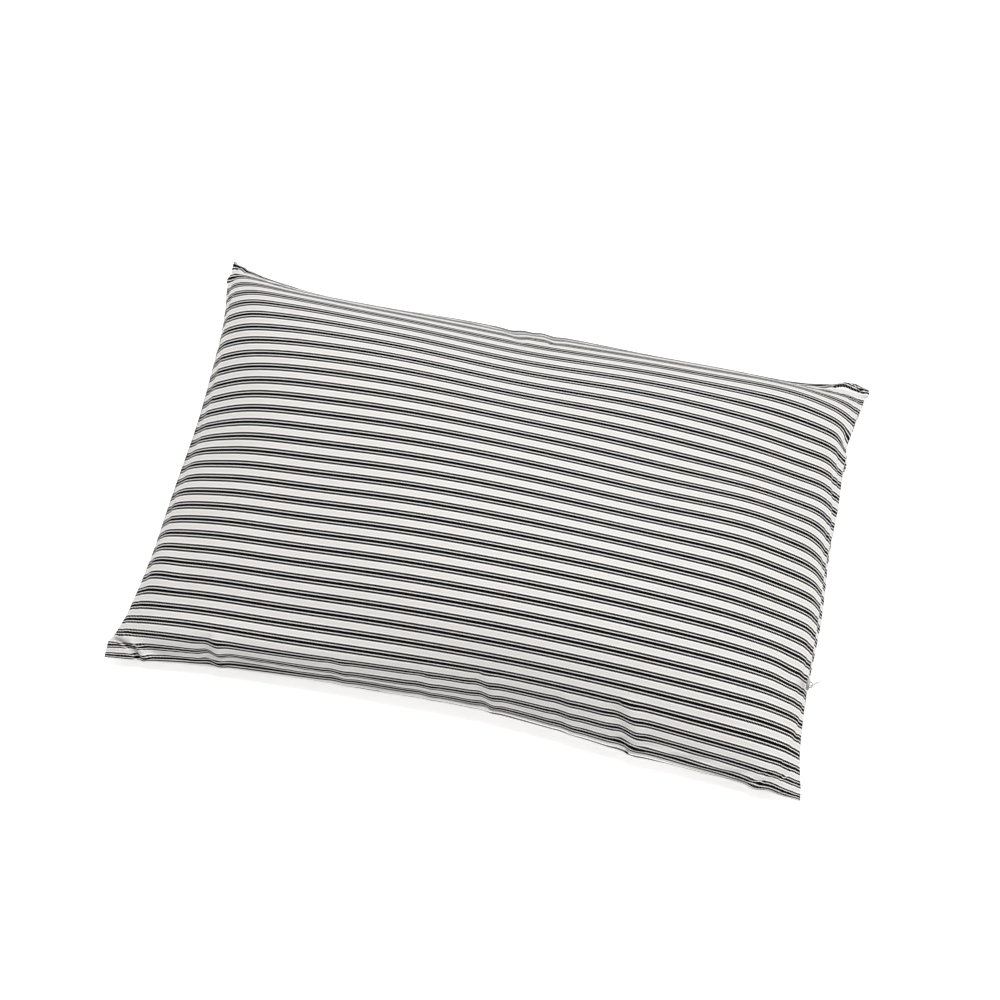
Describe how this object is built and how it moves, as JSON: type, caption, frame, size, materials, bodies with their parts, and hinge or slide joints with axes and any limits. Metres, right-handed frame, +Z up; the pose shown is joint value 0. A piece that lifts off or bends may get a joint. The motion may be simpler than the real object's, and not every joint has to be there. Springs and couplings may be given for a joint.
{
  "type": "buckwheat pillow",
  "caption": "Rectangular knife-edge pillow of striped cotton ticking, filled with buckwheat hulls, with a low crown, pointed corners and a concealed zip in the short seam.",
  "frame": {"origin": "centre of the flat resting face on the underside, under the middle of the pillow's box", "axes": "+X along the stripes and the long seams, towards the seam with the zip slider; +Y towards the far long seam; +Z up, from the resting face to the crown"},
  "size_m": [0.5168, 0.3502, 0.0894],
  "materials": {
    "ticking": "matt off-white cotton twill with black triple stripes",
    "slider_metal": "satin grey",
    "pull_enamel": "semi-gloss pale enamel"
  },
  "bodies": {
    "root": {"pillow": "ticking", "zip_slider": "slider_metal", "zip_pull": "pull_enamel"}
  },
  "joints": []
}
